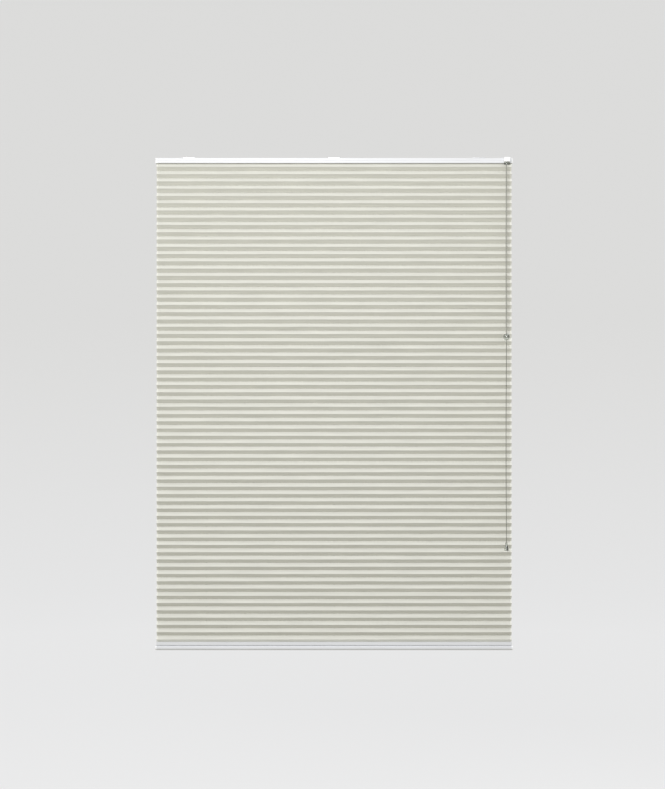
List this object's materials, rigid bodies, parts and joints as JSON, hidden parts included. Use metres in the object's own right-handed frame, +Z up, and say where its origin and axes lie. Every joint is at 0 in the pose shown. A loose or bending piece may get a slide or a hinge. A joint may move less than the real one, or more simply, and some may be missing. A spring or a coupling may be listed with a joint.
{
  "type": "pleated blind",
  "caption": "Corded pleated blind: slim white headrail with ceiling brackets, honeycomb cloth, rounded bottom rail, cord lock, connector and tassel.",
  "frame": {"origin": "centre of the plane that the three ceiling brackets are screwed to", "axes": "X across the blind, the room side faces -Y, +Z up to the ceiling; the controls are at +X"},
  "size_m": [1.229, 0.0622, 1.6948],
  "materials": {
    "rail_coating": "satin",
    "white_plastic": "gloss",
    "cloth": "matte",
    "cord": "matte",
    "slat_plastic": "satin",
    "lock_plastic": "satin",
    "steel": "satin",
    "clear_plastic": "gloss"
  },
  "bodies": {
    "head_set": {"headrail": "rail_coating", "head_cap_left": "white_plastic", "head_cap_right": "white_plastic", "top_slat": "slat_plastic", "cell_cloth": "cloth", "lock_housing": "lock_plastic", "lock_hood": "white_plastic", "dog_pin": "steel", "pulley_pin": "steel", "nose_axle": "steel", "exit_bushing": "clear_plastic", "cord_guide_left": "lock_plastic", "cord_guide_centre": "lock_plastic", "cord_guide_right": "lock_plastic", "guide_axle_left": "steel", "guide_axle_centre": "steel", "guide_axle_right": "steel", "lift_cord_left": "cord", "lift_cord_centre": "cord", "lift_cord_right": "cord", "pull_strand_left": "cord", "pull_strand_centre": "cord", "pull_strand_right": "cord", "bracket_plate_left": "steel", "bracket_plate_centre": "steel", "bracket_plate_right": "steel", "bracket_rivet_left": "steel", "bracket_rivet_centre": "steel", "bracket_rivet_right": "steel"},
    "rail_set": {"bottom_rail": "rail_coating", "bottom_slat": "slat_plastic", "rail_cap_left": "white_plastic", "rail_cap_right": "white_plastic", "cord_plug_left": "white_plastic", "cord_plug_centre": "white_plastic", "cord_plug_right": "white_plastic"},
    "pull_set": {"connector_cap": "clear_plastic", "connector_body": "clear_plastic", "pull_cord": "cord", "tassel": "clear_plastic"},
    "dog": {"lock_dog": "lock_plastic"},
    "pulley": {"lock_pulley": "lock_plastic"},
    "nose": {"nose_roller": "lock_plastic"},
    "roller_left": {"guide_roller_left": "lock_plastic"},
    "roller_centre": {"guide_roller_centre": "lock_plastic"},
    "roller_right": {"guide_roller_right": "lock_plastic"},
    "lever_left": {"bracket_lever_left": "steel"},
    "lever_centre": {"bracket_lever_centre": "steel"},
    "lever_right": {"bracket_lever_right": "steel"}
  },
  "joints": [
    {"name": "rail_lift", "type": "slide", "parent": "head_set", "child": "rail_set", "axis": [0, 0, 1], "range_m": [0, 1.57], "deforming": ["cell_cloth", "lift_cord_left", "lift_cord_centre", "lift_cord_right"]},
    {"name": "pull_drop", "type": "slide", "parent": "head_set", "child": "pull_set", "axis": [0, 0, -1], "range_m": [0, 1.57], "deforming": ["pull_strand_left", "pull_strand_centre", "pull_strand_right"]},
    {"name": "dog_swing", "type": "hinge", "parent": "head_set", "child": "dog", "pos_m": [0.566, -0.005, -0.0114], "axis": [0, 0, -1], "range_deg": [0, 20]},
    {"name": "pulley_spin", "type": "hinge", "parent": "head_set", "child": "pulley", "pos_m": [0.58435, -0.002, -0.0114], "axis": [0, 0, -1], "continuous": true},
    {"name": "nose_spin", "type": "hinge", "parent": "head_set", "child": "nose", "pos_m": [0.59285, -0.02785, -0.013], "axis": [1, 0, 0], "continuous": true},
    {"name": "roller_left_spin", "type": "hinge", "parent": "head_set", "child": "roller_left", "pos_m": [-0.43675, 0, -0.0126], "axis": [0, 1, 0], "continuous": true},
    {"name": "roller_centre_spin", "type": "hinge", "parent": "head_set", "child": "roller_centre", "pos_m": [0.00325, 0, -0.0126], "axis": [0, 1, 0], "continuous": true},
    {"name": "roller_right_spin", "type": "hinge", "parent": "head_set", "child": "roller_right", "pos_m": [0.44325, 0, -0.0126], "axis": [0, 1, 0], "continuous": true},
    {"name": "lever_left_turn", "type": "hinge", "parent": "head_set", "child": "lever_left", "pos_m": [-0.5, 0, -0.002], "axis": [0, 0, -1], "range_deg": [0, 90]},
    {"name": "lever_centre_turn", "type": "hinge", "parent": "head_set", "child": "lever_centre", "pos_m": [0, 0, -0.002], "axis": [0, 0, -1], "range_deg": [0, 90]},
    {"name": "lever_right_turn", "type": "hinge", "parent": "head_set", "child": "lever_right", "pos_m": [0.5, 0, -0.002], "axis": [0, 0, -1], "range_deg": [0, 90]}
  ],
  "couplings": [
    {"joint": "pull_drop", "follows": "rail_lift", "ratio": 1},
    {"joint": "pulley_spin", "follows": "rail_lift", "rad_per_m": 215.05},
    {"joint": "nose_spin", "follows": "rail_lift", "rad_per_m": 273.97},
    {"joint": "roller_left_spin", "follows": "rail_lift", "rad_per_m": 307.69},
    {"joint": "roller_centre_spin", "follows": "rail_lift", "rad_per_m": 307.69},
    {"joint": "roller_right_spin", "follows": "rail_lift", "rad_per_m": 307.69}
  ]
}
